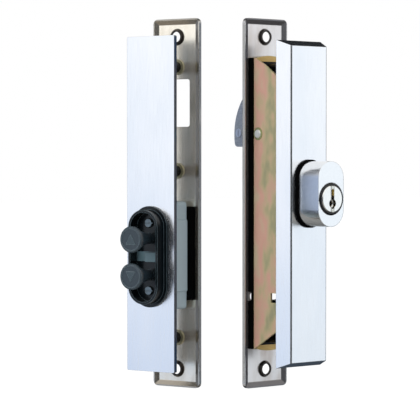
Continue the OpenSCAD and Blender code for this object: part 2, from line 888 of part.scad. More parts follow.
module button_case() {
  slot = lever_thick / 2 + rocker_f * sin(rocker_angle) + 1;
  w = button_case_w;
  h = button_case_h;
  color("slategray")
    inner_place()
      difference() {
        union() {
          difference() {
            translate([0, 0, button_case_z])
              union() {
                translate([0, 0, rocker_z - button_case_z])
                  round_plate(w, h - 20, 1, packing_f, inner_under);
                round_plate(w - 1.2, h, 2, packing_f, inner_under);
              }
            translate([0, 0, button_case_z])
              round_plate(w - 2 * button_wall - 1, h - 2 * button_wall, 1, floor_f, inner_under + cut);
          }
          for (s = [-1, 1])
            block(-4, 4, floor_f - 0.5, inner_under, rocker_z + s * escutcheon_screw_dz - 3.4,
              rocker_z + s * escutcheon_screw_dz + 3.4);
        }
        for (s = [-1, 1])
          translate([0, 0, rocker_z + s * escutcheon_screw_dz])
            bar(escutcheon_screw_r, inner_under - 7, inner_under + cut);
        block(-lever_w / 2 - 0.5, lever_w / 2 + 0.5, packing_f - cut, floor_f + cut, rocker_z - slot,
          rocker_z + slot);
        cross_bar(rocker_pin_r, -w / 2 + 0.6, w / 2 - 0.6, rocker_f, rocker_z);
      }
}

module inner_posts() {
  color("dimgray")
    inner_place()
      for (z = inner_post_zs)
        translate([0, 0, z])
          difference() {
            union() {
              bar(inner_flange_r, tray_t, tray_t + inner_flange_t);
              bar(inner_post_r, tray_t, inner_under);
            }
            bar(screw_r, tray_t - cut, tray_t + 9);
          }
}

module inner_post_screws() {
  color("dimgray")
    inner_place()
      for (z = inner_post_zs)
        translate([0, 0, z])
          difference() {
            back_screw(tray_t + 8);
            for (a = [0, 90])
              rotate([0, a, 0])
                block(-1.6, 1.6, -cut, 0.6, -0.35, 0.35);
          }
}

module inner_cover() {
  color("aliceblue")
    inner_place()
      difference() {
        round_plate(inner_cover_w, inner_cover_h, 0.8, inner_leaf, inner_cover_f);
        block(-inner_cover_w / 2 + inner_sheet, inner_cover_w / 2 - inner_sheet, inner_leaf - cut,
          inner_under,
          -inner_cover_h / 2 + inner_sheet, inner_cover_h / 2 - inner_sheet);
        for (s = [-1, 1]) {
          translate([0, 0, rocker_z + s * button_pitch / 2])
            bar(sleeve_r + 0.1, inner_leaf, inner_cover_f + cut);
          translate([0, 0, rocker_z + s * escutcheon_screw_dz])
            bar(escutcheon_screw_r + 0.1, inner_leaf, inner_cover_f + cut);
        }
      }
}

module escutcheon() {
  wide = bezel_w - 2 * bezel_wall;
  high = bezel_h - 2 * bezel_wall;
  front = inner_cover_f + bezel_d;
  color("black")
    inner_place()
      translate([0, 0, rocker_z])
        difference() {
          union() {
            difference() {
              union() {
                stadium(bezel_w + 2 * base_over, bezel_h + 2 * base_over, inner_cover_f,
                  inner_cover_f + base_t);
                stadium(bezel_w, bezel_h, inner_cover_f, front);
              }
              stadium(wide, high, inner_cover_f + floor_t, front + cut);
            }
            block(0, wide / 2 + 0.2, inner_cover_f + 0.5, inner_cover_f + floor_t + rib_f,
              -rib_h / 2, rib_h / 2);
            for (s = [-1, 1])
              translate([0, 0, s * button_pitch / 2])
                bar(sleeve_r, inner_cover_f - sleeve_back, inner_cover_f + floor_t);
          }
          for (s = [-1, 1]) {
            translate([0, 0, s * button_pitch / 2])
              bar(stem_r + fit, inner_cover_f - sleeve_back - cut, inner_cover_f + floor_t + cut);
            translate([0, 0, s * escutcheon_screw_dz])
              bar(escutcheon_screw_r + 0.1, inner_cover_f - cut, inner_cover_f + floor_t + cut);
          }
        }
}

module escutcheon_screws() {
  color("silver")
    inner_place()
      for (s = [-1, 1])
        translate([0, 0, rocker_z + s * escutcheon_screw_dz])
          difference() {
            union() {
              bar(escutcheon_head_r, inner_cover_f + floor_t, inner_cover_f + floor_t + escutcheon_head_t,
                escutcheon_head_r - 0.4);
              bar(escutcheon_screw_r, inner_under - 6, inner_cover_f + floor_t + 0.1);
            }
            block(-escutcheon_head_r, escutcheon_head_r, inner_cover_f + floor_t + escutcheon_head_t - 0.6,
              inner_cover_f + floor_t + escutcheon_head_t + cut, -0.35, 0.35);
          }
}

// Arrowhead that points up on the upper button and down on the lower one
module arrowhead(s, f0, f1) {
  translate([0, -f0, 0])
    rotate([90, 0, 0])
      linear_extrude(f1 - f0)
        rotate(s > 0 ? 0 : 180)
          polygon([[-arrow_w / 2, -arrow_h / 2], [arrow_w / 2, -arrow_h / 2], [0, arrow_h / 2]]);
}

// Push button with a domed back end, a conical neck and a wide, marked head
module button(s) {
  inner_place()
    translate([0, 0, rocker_z + s * button_pitch / 2])
      difference() {
        union() {
          translate([0, -tip_f, 0])
            sphere(stem_r);
          bar(stem_r, tip_f, neck_f);
          bar(stem_r, neck_f, head_f - head_t, button_r - 1.4);
          bar(button_r - head_edge, head_f - head_t, head_f - head_t + head_edge, button_r);
          bar(button_r, head_f - head_t + head_edge, head_f - head_edge);
          bar(button_r, head_f - head_edge, head_f, button_r - head_edge);
        }
        difference() {
          bar(button_r - head_edge - 0.7, head_f - face_sink, head_f + cut);
          arrowhead(s, head_f - face_sink - cut, head_f + 2 * cut);
        }
        difference() {
          bar(stem_r + cut, clip_f, clip_f + button_clip_t);
          bar(stem_r - 0.6, clip_f - cut, clip_f + button_clip_t + cut);
        }
      }
}

module open_button() {
  color("darkslategray")
    button(1);
}

module close_button() {
  color("darkslategray")
    button(-1);
}

// Spring clip that keeps a button in its sleeve
module button_clip(s) {
  inner_place()
    translate([0, 0, rocker_z + s * button_pitch / 2])
      difference() {
        bar(button_clip_r, clip_f, clip_f + button_clip_t);
        bar(stem_r - 0.6, clip_f - cut, clip_f + button_clip_t + cut);
        block(-1.6, 1.6, clip_f - cut, clip_f + button_clip_t + cut, -button_clip_r - cut, 0);
      }
}

module open_clip() {
  color("dimgray")
    button_clip(1);
}

module close_clip() {
  color("dimgray")
    button_clip(-1);
}

module rocker() {
  color("silver")
    inner_place()
      translate([0, -rocker_f, rocker_z])
        difference() {
          union() {
            translate([-rocker_w / 2, -rocker_top, -rocker_half])
              cube([rocker_w, rocker_top + rocker_under, 2 * rocker_half]);
            cross_bar(3, -rocker_w / 2, rocker_w / 2, 0, 0);
            translate([-lever_w / 2, 0, -lever_thick / 2])
              cube([lever_w, rocker_f + lever_back, lever_thick]);
          }
          cross_bar(rocker_pin_r + fit, -case_w, case_w, 0, 0);
        }
}

module rocker_pin() {
  color("dimgray")
    inner_place()
      cross_bar(rocker_pin_r, -button_case_w / 2 + 0.65, button_case_w / 2 - 0.65, rocker_f, rocker_z);
}

outer_tray();
outer_packing();
lock_case();
outer_posts();
outer_post_screws();
backplate();
outer_cover();
cylinder_gasket();
cylinder_housing();
cylinder_screws();
plug_collar();
key_plug();
key_pins();
driver_pins();
pin_springs();
pin_cap();
plug_clip();
tail_cam();
cam_screw();
slide_bar();
guide_pins();
hook();
hook_drive_pin();
hook_insert();
hook_pivot();
hook_spacers();
inner_tray();
inner_packing();
button_case();
inner_posts();
inner_post_screws();
inner_cover();
escutcheon();
escutcheon_screws();
open_button();
close_button();
open_clip();
close_clip();
rocker();
rocker_pin();
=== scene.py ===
"""Sliding door lock set: finishes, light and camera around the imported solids. Lengths are in metres."""

import math

import bmesh
import bpy
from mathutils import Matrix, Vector


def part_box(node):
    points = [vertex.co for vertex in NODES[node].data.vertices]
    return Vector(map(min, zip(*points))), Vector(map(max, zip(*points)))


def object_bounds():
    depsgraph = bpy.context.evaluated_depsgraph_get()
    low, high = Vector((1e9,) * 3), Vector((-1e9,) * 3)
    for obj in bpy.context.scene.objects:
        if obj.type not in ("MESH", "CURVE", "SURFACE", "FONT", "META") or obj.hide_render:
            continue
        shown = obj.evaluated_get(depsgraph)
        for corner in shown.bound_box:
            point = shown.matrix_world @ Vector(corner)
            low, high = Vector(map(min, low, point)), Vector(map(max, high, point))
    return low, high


bl_info = {
    "name": "Sliding Door Lock Set",
    "version": (1, 0, 0),
    "blender": (4, 5, 0),
    "location": "View3D > Sidebar > Lock Set",
    "description": "Finishes, light and camera for a keyed hook lock and its push-button strike unit",
    "category": "Object",
}

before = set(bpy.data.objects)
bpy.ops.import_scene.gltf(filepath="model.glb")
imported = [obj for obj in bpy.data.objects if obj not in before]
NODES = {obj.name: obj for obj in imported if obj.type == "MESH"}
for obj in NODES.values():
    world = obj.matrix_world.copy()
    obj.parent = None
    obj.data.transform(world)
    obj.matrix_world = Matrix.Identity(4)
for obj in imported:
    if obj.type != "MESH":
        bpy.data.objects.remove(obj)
CAD_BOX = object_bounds()
MM = 0.001

# Place and turn of the inner unit beside the outer one
INNER_PLACE = (-37.4 * MM, 31.5 * MM, 0.0)
INNER_TURN = math.radians(-73)

# Where painted shade and highlight change on the trays and the inner cover's side, from the middle of their
# unit
HOLE_HEIGHT = 95 * MM
DIMPLE_FULL, DIMPLE_END = 4.5 * MM, 5.0 * MM
FACE_HALF_WIDTH, FACE_HALF_HEIGHT = 12.4 * MM, 101.8 * MM
RIM_BLEND = 0.5 * MM
EDGE_HIGHLIGHT_SIDE = 15.55 * MM
COVER_SHADE_SIDE = 16.1 * MM

# The lock case: inner face of its walls, start of its ears, front of its web, and the rivet's head
CASE_INSIDE = 9.9 * MM
EAR_START = 80.7 * MM
WEB_FRONT = -5.3 * MM
RIVET_HEAD = 11.4 * MM

# The inner unit: back of the posts' flanges, the escutcheon's web and the marks on the buttons
POST_FLANGE = -1.75 * MM
WEB_LEVEL = -29.4 * MM
WEB_HALF_HEIGHT, WEB_HALF_WIDTH = 2.75 * MM, 8.5 * MM
BUTTONS_LEVEL = -29.6 * MM
BUTTON_OFFSET = 10.3 * MM
MARK_RADIUS = 5.5 * MM
BUTTON_FACE = -46.75 * MM

# The range that most of Blender's noise lies in, and the depth that a full bump stands for
NOISE_LOW, NOISE_HIGH = 0.3, 0.7
BUMP_DEPTH = 0.1 * MM

# The cosine between a rounded edge's normal and its face where the painted edge light starts, and where it is
# full
EDGE_LIGHT_START, EDGE_LIGHT_FULL = 0.99, 0.88

# Grain of a moulded skin, and width of the patches that its gloss varies in
SKIN_GRAIN = 0.35 * MM
GLOSS_PATCH = 6 * MM

# Depths in the case's wall over which its tint runs from paler towards olive and a darker tone, painted shade
# that deepens towards the cover, and how far
COVER_SHADE_BACK, COVER_SHADE_FRONT = -4 * MM, -24 * MM
COVER_SHADE_LOW, COVER_SHADE_HIGH = -0.2, 0.17

# The photograph's view: direction, lens, clipping, and the pixel of the frame's origin in a 420 pixel picture
VIEW_AZIMUTH = math.radians(-39.4)
VIEW_ELEVATION = math.radians(1.5)
LENS = 172.0
SENSOR = 36.0
CLIP_START, CLIP_END = 0.05, 30.0
PICTURE = 420
ORIGIN_PIXEL = (263.6, 203.2)

# The stage: half of the floor, its gap below the lock set, its glow, and the glow's share of what is seen
FLOOR_HALF = 4.0
FLOOR_GAP = 0.5 * MM
FLOOR_GLOW = 1.13
FLOOR_SHARE = 0.85

# Each soft lamp's name, place, side and power in watts
LAMPS = (
    ("front_lamp", (-0.5, -1.3, 0.9), 0.8, 5.0),
    ("left_lamp", (-1.5, 0.1, 0.5), 0.9, 10.0),
)

# What polished metal reflects all round: azimuth in degrees, 0 to the right and 90 behind, with its shade.
# The four rings are just above the horizon, just below it, overhead and underfoot.
TENT_LEVEL = (
    (-180, "FBFCFF"), (-160, "F4F6FA"), (-151, "23272D"), (-108, "1B1F25"), (-92, "D8DFE6"), (-70, "F4F8FC"),
    (-36, "EFF4FA"), (-24, "6A7A90"), (-10, "42505F"), (25, "3A444E"), (62, "4A5560"), (100, "6E7A8C"),
    (128, "8C9AB6"), (143, "C0CADE"), (153, "F2F7FD"), (172, "FFFFFF"))
TENT_DUSK = (
    (-180, "BCCFEA"), (-160, "B8CCE8"), (-151, "1E2228"), (-108, "171B20"), (-92, "CBD5DF"), (-70, "E2EBF3"),
    (-36, "DDE7F0"), (-24, "5A6878"), (-10, "37434F"), (25, "2E363E"), (62, "3E4852"), (100, "626E7E"),
    (128, "8492AE"), (147, "A9BAD8"), (160, "B9CCE9"), (172, "C0D2EC"))
TENT_HIGH = (
    (-180, "F0F0F0"), (-60, "EDEDED"), (-20, "E6E2DE"), (12, "20242A"), (42, "07090C"), (92, "14181E"),
    (118, "8A8F98"), (140, "E8E2DC"), (180, "F0F0F0"))
TENT_LOW = (
    (-180, "A8A49E"), (-100, "8A8884"), (-24, "3A3836"), (43, "3A424C"), (97, "4A525C"), (140, "8C8070"),
    (180, "A8A49E"))

# The height of a direction, as its z, over which one ring gives way to the next
DUSK_BAND = (0.0, -0.1)
HIGH_BAND = (0.12, 0.42)
LOW_BAND = (-0.12, -0.4)

# The tent's strength in reflections, its even diffuse light, and the white that the camera sees
TENT_SHINE = 1.12
TENT_SOFT, TENT_SOFT_COLOUR = 0.6, (0.96, 0.98, 1.0, 1.0)
WHITE = (1.0, 1.0, 1.0, 1.0)


def linear(hex_colour):
    """An sRGB hex value such as C9C4BC as linear red, green, blue and alpha."""
    def channel(v):
        return v / 12.92 if v <= 0.04045 else ((v + 0.055) / 1.055) ** 2.4
    return tuple(channel(int(hex_colour[i:i + 2], 16) / 255) for i in (0, 2, 4)) + (1.0,)


def add(tree, kind, **settings):
    """Adds a node. A setting names one of its attributes, one of its inputs, or in and an input's number.
    A socket is linked to its input, and any other value is set."""
    node = tree.nodes.new(kind)
    for key, value in settings.items():
        if hasattr(node, key):
            setattr(node, key, value)
            continue
        numbered = key[:2] == "in" and key[2:].isdigit()
        socket = node.inputs[int(key[2:]) if numbered else key.replace("_", " ")]
        if isinstance(value, bpy.types.NodeSocket):
            tree.links.new(value, socket)
        else:
            socket.default_value = value
    return node


def maths(tree, operation, *values):
    """The result of a maths node; the values are sockets or numbers."""
    settings = {f"in{i}": value for i, value in enumerate(values)}
    return add(tree, "ShaderNodeMath", operation=operation, **settings).outputs[0]


def vector_maths(tree, operation, *values):
    """The result of a vector maths node: a number for a length or a dot product, otherwise a vector."""
    settings = {f"in{i}": value for i, value in enumerate(values)}
    node = add(tree, "ShaderNodeVectorMath", operation=operation, **settings)
    return node.outputs["Value" if operation in ("LENGTH", "DOT_PRODUCT") else "Vector"]


def ranged(tree, value, start, end, low=0.0, high=1.0):
    """A value that runs from start to end, brought to run from low to high and held there."""
    return add(tree, "ShaderNodeMapRange", in0=value, in1=start, in2=end, in3=low, in4=high).outputs[0]


def mixed(tree, share, first, second):
    """The first colour turning into the second by a share; each colour is a socket or a value."""
    return add(tree, "ShaderNodeMix", data_type="RGBA", in0=share, in6=first, in7=second).outputs[2]


def ramp(tree, value, stops, smooth=False):
    """The colour that a ramp gives a value. Stops pair a position with a colour, and a smooth ramp is a
    spline."""
    node = add(tree, "ShaderNodeValToRGB", in0=value)
    colour_ramp = node.color_ramp
    if smooth:
        colour_ramp.interpolation = "B_SPLINE"
    while len(colour_ramp.elements) < len(stops):
        colour_ramp.elements.new(0.5)
    for element, (position, colour) in zip(colour_ramp.elements, stops):
        element.position, element.color = position, colour
    return node.outputs[0]


def axes(tree, vector):
    """The x, y and z of a vector."""
    return tuple(add(tree, "ShaderNodeSeparateXYZ", in0=vector).outputs)


def reach(tree, first, second):
    """How far a point lies from an axis, by its two offsets."""
    flat = add(tree, "ShaderNodeCombineXYZ", in0=first, in1=second)
    return vector_maths(tree, "LENGTH", flat.outputs[0])


def within(tree, value, half, middle=0.0):
    """1 where a value lies less than half from a middle, 0 elsewhere."""
    offset = maths(tree, "SUBTRACT", value, middle) if middle else value
    return maths(tree, "LESS_THAN", maths(tree, "ABSOLUTE", offset), half)


def beyond(tree, value, half):
    """1 where a value lies more than half to either side of zero, 0 elsewhere."""
    return maths(tree, "GREATER_THAN", maths(tree, "ABSOLUTE", value), half)


def surface(name, flat, **shader):
    """A new material with a bare principled shader: returns material, tree, shader and object coordinates.
    The flat colour shows in Blender's solid view, and in the render where no pattern drives the colour."""
    material = bpy.data.materials.new(name)
    material.diffuse_color = flat
    material.use_nodes = True
    tree = material.node_tree
    tree.nodes.clear()
    principled = add(tree, "ShaderNodeBsdfPrincipled", Base_Color=flat, **shader)
    add(tree, "ShaderNodeOutputMaterial", in0=principled.outputs[0])
    place = add(tree, "ShaderNodeTexCoord").outputs["Object"]
    return material, tree, principled, place


def unit_frame(tree, place, inner):
    """Coordinates in a unit's own frame: x across its tray, y out of its back, z up."""
    if not inner:
        return place
    moved = vector_maths(tree, "SUBTRACT", place, INNER_PLACE)
    return add(tree, "ShaderNodeMapping", Vector=moved, Rotation=(0, 0, -INNER_TURN)).outputs[0]


def grained(tree, place, size, detail=3.0):
    """Noise whose grains have a size in metres, or one size each along x, y and z."""
    across = size if isinstance(size, tuple) else (size, size, size)
    scaled = add(tree, "ShaderNodeMapping", Vector=place, Scale=[1 / length for length in across])
    noise = add(tree, "ShaderNodeTexNoise", Vector=scaled.outputs[0], Scale=1.0, Detail=detail)
    return noise.outputs["Fac"]


def finish_skin(tree, shader, edge, bump, strength, gloss, smooth, rough):
    """Rounds sharp edges by a radius, adds a bump pattern, and runs roughness from smooth to rough with a
    gloss pattern."""
    bevel = add(tree, "ShaderNodeBevel", Radius=edge, samples=4)
    raised = add(tree, "ShaderNodeBump", Height=bump, Normal=bevel.outputs[0], Strength=strength,
                 Distance=BUMP_DEPTH)
    tree.links.new(raised.outputs[0], shader.inputs["Normal"])
    tree.links.new(ranged(tree, gloss, NOISE_LOW, NOISE_HIGH, smooth, rough), shader.inputs["Roughness"])


def moulded_skin(tree, shader, place, edge, texture, smooth, rough):
    """A moulded part's fine skin, deeper by its texture, with a gloss that varies in patches."""
    skin = grained(tree, place, SKIN_GRAIN)
    patch = grained(tree, place, GLOSS_PATCH)
    finish_skin(tree, shader, edge, bump=skin, strength=texture, gloss=patch,
                smooth=smooth, rough=rough)


def paint(tree, shader, colour):
    """Drives the shader's colour."""
    tree.links.new(colour, shader.inputs["Base Color"])


def painted_edge_light(tree, colour, radius, edge):
    """A colour that turns to another along sharp edges: painted light, a painted highlight where the edge
    colour is paler and painted shade where it is darker.
    """
    bevel = add(tree, "ShaderNodeBevel", Radius=radius, samples=6)
    shape = add(tree, "ShaderNodeNewGeometry")
    match = vector_maths(tree, "DOT_PRODUCT", bevel.outputs[0], shape.outputs["Normal"])
    return mixed(tree, ranged(tree, match, EDGE_LIGHT_START, EDGE_LIGHT_FULL), colour, linear(edge))


def dress(material, *names):
    """Gives each named node the material."""
    for name in names:
        data = NODES[name].data
        data.materials.clear()
        data.materials.append(material)


def sizes():
    """The sizes that the panel shows."""
    return bpy.context.scene.lock_sizes


def colours():
    """The colours that the panel shows."""
    return bpy.context.scene.lock_colours


class LockSizes(bpy.types.PropertyGroup):
    """Sizes that a user would change."""

    edge_round: bpy.props.FloatProperty(
        name="Edge rounding", description="Radius that the finish gives to sheet edges",
        default=0.25 * MM, min=0.0, unit="LENGTH")
    brush_line: bpy.props.FloatProperty(
        name="Brush line",
        description="Width of a brushed line on the trays, coarser than the real 0.05 mm so that it shows",
        default=0.3 * MM, min=0.05 * MM, unit="LENGTH")
    turning_pitch: bpy.props.FloatProperty(
        name="Turning pitch",
        description="Distance between turning marks on the key plug, coarser than the real 0.1 mm",
        default=0.45 * MM, min=0.05 * MM, unit="LENGTH")
    drift_width: bpy.props.FloatProperty(
        name="Drift width", description="Width of a patch of one tint in the passivated case",
        default=8 * MM, min=1 * MM, unit="LENGTH")
    camera_distance: bpy.props.FloatProperty(
        name="Camera distance", description="From the camera to the lock set",
        default=1.15, min=0.3, unit="LENGTH")


class LockColours(bpy.types.PropertyGroup):
    """Colours that a user would change."""

    tray: bpy.props.FloatVectorProperty(
        name="Outer tray", description="Bright-rolled stainless steel",
        default=linear("E8E3E0"), size=4, subtype="COLOR")
    inner_tray: bpy.props.FloatVectorProperty(
        name="Inner tray", description="Bright-rolled stainless steel",
        default=linear("FBF2E2"), size=4, subtype="COLOR")
    cover: bpy.props.FloatVectorProperty(
        name="Covers", description="Satin anodised aluminium",
        default=linear("FBFCFE"), size=4, subtype="COLOR")
    case_pink: bpy.props.FloatVectorProperty(
        name="Case, pink", description="Tint of the passivation",
        default=linear("E8B09E"), size=4, subtype="COLOR")
    case_tan: bpy.props.FloatVectorProperty(
        name="Case, tan", description="Tint of the passivation",
        default=linear("D8BF9A"), size=4, subtype="COLOR")
    case_olive: bpy.props.FloatVectorProperty(
        name="Case, olive", description="Tint of the passivation",
        default=linear("B8B488"), size=4, subtype="COLOR")
    case_gold: bpy.props.FloatVectorProperty(
        name="Case, gold", description="Tint of the passivation at the ends of the web",
        default=linear("EBC57C"), size=4, subtype="COLOR")
    hook: bpy.props.FloatVectorProperty(
        name="Hook", description="Ground steel, on the crest of a grinding line",
        default=linear("CBD0D5"), size=4, subtype="COLOR")
    housing: bpy.props.FloatVectorProperty(
        name="Cylinder housing", description="Satin chrome plate",
        default=linear("F8FAFB"), size=4, subtype="COLOR")
    escutcheon: bpy.props.FloatVectorProperty(
        name="Escutcheon", description="Glossy black moulding",
        default=linear("0B1115"), size=4, subtype="COLOR")
    button: bpy.props.FloatVectorProperty(
        name="Buttons", description="Slate moulding",
        default=linear("27333B"), size=4, subtype="COLOR")
    grey_case: bpy.props.FloatVectorProperty(
        name="Button case", description="Grey moulding",
        default=linear("A9BAC2"), size=4, subtype="COLOR")


def bright_rolled_stainless(name, inner, middle, low, high, rim, metal):
    """Stainless sheet, bright rolled and lightly brushed along its length: cloudy reflections drawn out into
    streaks. The pressed dimples round the fixing holes, the drawn rim and the sharp edges are painted darker
    as shade, and a painted highlight makes a bright band along the outer edge."""
    material, tree, shader, place = surface(name, middle, Metallic=metal)
    local = unit_frame(tree, place, inner)
    line = sizes().brush_line
    streak = grained(tree, local, (line, line, 60 * MM), detail=4.0)
    cloud = grained(tree, local, (9 * MM, 9 * MM, 34 * MM))
    clouded = ramp(tree, cloud, [(0.3, linear(low)), (0.5, middle), (0.72, linear(high))])
    across, _, up = axes(tree, local)
    side = maths(tree, "ABSOLUTE", across)
    height = maths(tree, "ABSOLUTE", up)
    over_side = maths(tree, "SUBTRACT", side, FACE_HALF_WIDTH)
    over_end = maths(tree, "SUBTRACT", height, FACE_HALF_HEIGHT)
    # Painted shade: the drawn rim is darker than the sheet
    drawn = ranged(tree, maths(tree, "MAXIMUM", over_side, over_end), 0.0, RIM_BLEND)
    rim_shaded = mixed(tree, drawn, clouded, linear(rim))
    # Painted highlight: a bright band along the outer edge
    edge_highlit = mixed(tree, maths(tree, "GREATER_THAN", side, EDGE_HIGHLIGHT_SIDE), rim_shaded, linear("EDEBE8"))
    # Painted shade: the pressed dimples round the fixing holes are dark
    from_hole = reach(tree, across, maths(tree, "SUBTRACT", height, HOLE_HEIGHT))
    dimple = ranged(tree, from_hole, DIMPLE_FULL, DIMPLE_END, 1.0, 0.0)
    dimple_shaded = mixed(tree, dimple, edge_highlit, linear("2B2826"))
    # Painted shade: the sharp edges are darker
    paint(tree, shader, painted_edge_light(tree, dimple_shaded, 0.5 * MM, "625C55"))
    finish_skin(tree, shader, sizes().edge_round, bump=streak, strength=0.035, gloss=streak,
                smooth=0.16, rough=0.26)
    return material


def satin_anodised_aluminium(name, shade_side=None):
    """Extruded aluminium, satin etched and clear anodised: pale, with soft reflections and a very fine
    vertical grain. Beyond the given distance across from the inner unit's middle, the cover's side is painted
    dark blue-grey as shade."""
    cover = tuple(colours().cover)
    material, tree, shader, place = surface(name, cover, Metallic=1.0)
    grain = grained(tree, place, (0.35 * MM, 0.35 * MM, 12 * MM))
    haze = grained(tree, place, (30 * MM, 30 * MM, 70 * MM), detail=2.0)
    shown = ramp(tree, haze, [(0.35, linear("F4F7FB")), (0.6, cover), (0.75, linear("FFFFFF"))])
    if shade_side:
        across, _, _ = axes(tree, unit_frame(tree, place, True))
        # Painted shade: the inner cover's side is dark blue-grey
        shown = mixed(tree, beyond(tree, across, shade_side), shown, linear("5C6E84"))
    paint(tree, shader, shown)
    finish_skin(tree, shader, sizes().edge_round, bump=grain, strength=0.04, gloss=grain,
                smooth=0.2, rough=0.28)
    return material


def yellow_passivated_zinc():
    """Steel with zinc plate and yellow passivation: a clear film whose tint drifts softly from pink to tan
    and olive. Painted shade runs it from paler at the tray to olive and a darker tone near the cover, and
    makes the channel between the walls black. The ends of the web are gold, and a painted highlight runs
    along the sharp edges."""
    pink, tan, olive, gold = (tuple(c) for c in (
        colours().case_pink, colours().case_tan, colours().case_olive, colours().case_gold))
    material, tree, shader, place = surface("yellow_passivated_zinc", pink, Metallic=0.4)
    across, out, up = axes(tree, place)
    width = sizes().drift_width
    drift = grained(tree, place, (width, width, 1.9 * width), detail=2.0)
    # Painted shade: the tint runs paler at the tray and towards olive and a darker tone near the cover
    depth = ranged(tree, out, COVER_SHADE_BACK, COVER_SHADE_FRONT, COVER_SHADE_LOW, COVER_SHADE_HIGH)
    tint = ramp(tree, maths(tree, "ADD", drift, depth), [
        (0.18, linear("DCC6A6")), (0.34, pink), (0.45, linear("DFB29C")), (0.56, tan), (0.68, olive),
        (0.84, linear("9C9482"))], smooth=True)
    # Painted shade: the channel between the walls, in front of the web, is near black
    between = within(tree, across, CASE_INSIDE)
    inside = maths(tree, "MULTIPLY", between, maths(tree, "LESS_THAN", out, WEB_FRONT))
    ear = maths(tree, "MULTIPLY", between, beyond(tree, up, EAR_START))
    channel_shaded = mixed(tree, inside, tint, linear("0B0A0A"))
    gilt = mixed(tree, ear, channel_shaded, gold)
    scuff = grained(tree, place, (0.6 * MM, 0.6 * MM, 5 * MM), detail=5.0)
    # Painted highlight along the sharp edges
    paint(tree, shader, painted_edge_light(tree, gilt, 0.6 * MM, "DAD596"))
    finish_skin(tree, shader, 0.8 * sizes().edge_round, bump=scuff, strength=0.08, gloss=scuff,
                smooth=0.32, rough=0.5)
    return material


def peened_rivet():
    """Zinc-plated rivet: the peened head is rubbed bright, its flange keeps the olive passivation."""
    flange = linear("A6AA78")
    material, tree, shader, place = surface("peened_rivet", flange, Metallic=0.6)
    across, _, _ = axes(tree, place)
    dents = grained(tree, place, 0.9 * MM)
    paint(tree, shader, mixed(tree, beyond(tree, across, RIVET_HEAD), flange, linear("EDEFEA")))
    finish_skin(tree, shader, sizes().edge_round, bump=dents, strength=0.25, gloss=dents,
                smooth=0.28, rough=0.42)
    return material


def ground_hook_steel():
    """Blanked and ground steel plate: grey, with short grinding lines across it."""
    crest = tuple(colours().hook)
    material, tree, shader, place = surface("ground_hook_steel", crest, Metallic=0.75)
    grind = grained(tree, place, (0.5 * MM, 4 * MM, 0.5 * MM), detail=4.0)
    paint(tree, shader, ramp(tree, grind, [(NOISE_LOW, linear("A3A8AE")), (NOISE_HIGH, crest)]))
    finish_skin(tree, shader, sizes().edge_round, bump=grind, strength=0.15, gloss=grind,
                smooth=0.32, rough=0.45)
    return material


def satin_chrome_plate():
    """Zinc casting with satin chrome plate: soft clear reflections, with a faint cast texture under it."""
    material, tree, shader, place = surface("satin_chrome_plate", tuple(colours().housing), Metallic=1.0)
    cast = grained(tree, place, 1.2 * MM)
    finish_skin(tree, shader, 2.0 * sizes().edge_round, bump=cast, strength=0.03, gloss=cast,
                smooth=0.16, rough=0.24)
    return material


def turned_nickel_steel(axis_z):
    """Turned and nickel-plated steel: bright, with fine rings about a level axis at height axis_z."""
    material, tree, shader, place = surface("turned_plug_face", linear("FAFAF6"), Metallic=1.0)
    across, _, up = axes(tree, place)
    radius = reach(tree, across, maths(tree, "SUBTRACT", up, axis_z))
    rings = maths(tree, "SINE", maths(tree, "MULTIPLY", radius, math.tau / sizes().turning_pitch))
    wear = grained(tree, place, 1.5 * MM)
    finish_skin(tree, shader, sizes().edge_round, bump=rings, strength=0.04, gloss=wear,
                smooth=0.14, rough=0.24)
    return material


def plated_steel(name, colour, smooth, rough):
    """Small pressed or turned steel parts with zinc plate: an even tint with finely mottled gloss."""
    material, tree, shader, place = surface(name, linear(colour), Metallic=1.0)
    mottle = grained(tree, place, 1.3 * MM)
    finish_skin(tree, shader, sizes().edge_round, bump=mottle, strength=0.06, gloss=mottle,
                smooth=smooth, rough=rough)
    return material


def dark_flanged_post():
    """Turned post: dark, with its seating flange a pale ring."""
    shank = linear("26282A")
    material, tree, shader, place = surface("dark_flanged_post", shank, Metallic=0.8)
    _, out, _ = axes(tree, unit_frame(tree, place, True))
    mottle = grained(tree, place, 1.3 * MM)
    paint(tree, shader, mixed(tree, maths(tree, "GREATER_THAN", out, POST_FLANGE), shank, linear("B9B394")))
    finish_skin(tree, shader, sizes().edge_round, bump=mottle, strength=0.06, gloss=mottle,
                smooth=0.35, rough=0.5)
    return material


def turned_brass():
    """Free-cutting brass, turned: warm and bright."""
    material, tree, shader, place = surface("turned_brass", linear("D6B25E"), Metallic=1.0)
    fine = grained(tree, place, 0.3 * MM, detail=2.0)
    finish_skin(tree, shader, sizes().edge_round, bump=fine, strength=0.08, gloss=fine,
                smooth=0.2, rough=0.32)
    return material


def black_sheet_rubber():
    """Cut rubber sheet: dead black and dull, with a slight skin texture."""
    black = linear("020202")
    material, tree, shader, place = surface("black_sheet_rubber", black, Specular_IOR_Level=0.04)
    skin = grained(tree, place, 0.5 * MM, detail=4.0)
    paint(tree, shader, ramp(tree, skin, [(NOISE_LOW, black), (NOISE_HIGH, linear("070708"))]))
    finish_skin(tree, shader, sizes().edge_round, bump=skin, strength=0.2, gloss=skin,
                smooth=0.7, rough=0.9)
    return material


def moulded_abs(name, colour, smooth, rough, texture, shine):
    """Injection-moulded ABS: one colour under a skin that runs from near mirror to spark-eroded, as its
    roughness says."""
    material, tree, shader, place = surface(name, colour, IOR=1.53, Specular_IOR_Level=shine)
    moulded_skin(tree, shader, place, 1.6 * sizes().edge_round, texture, smooth, rough)
    return material


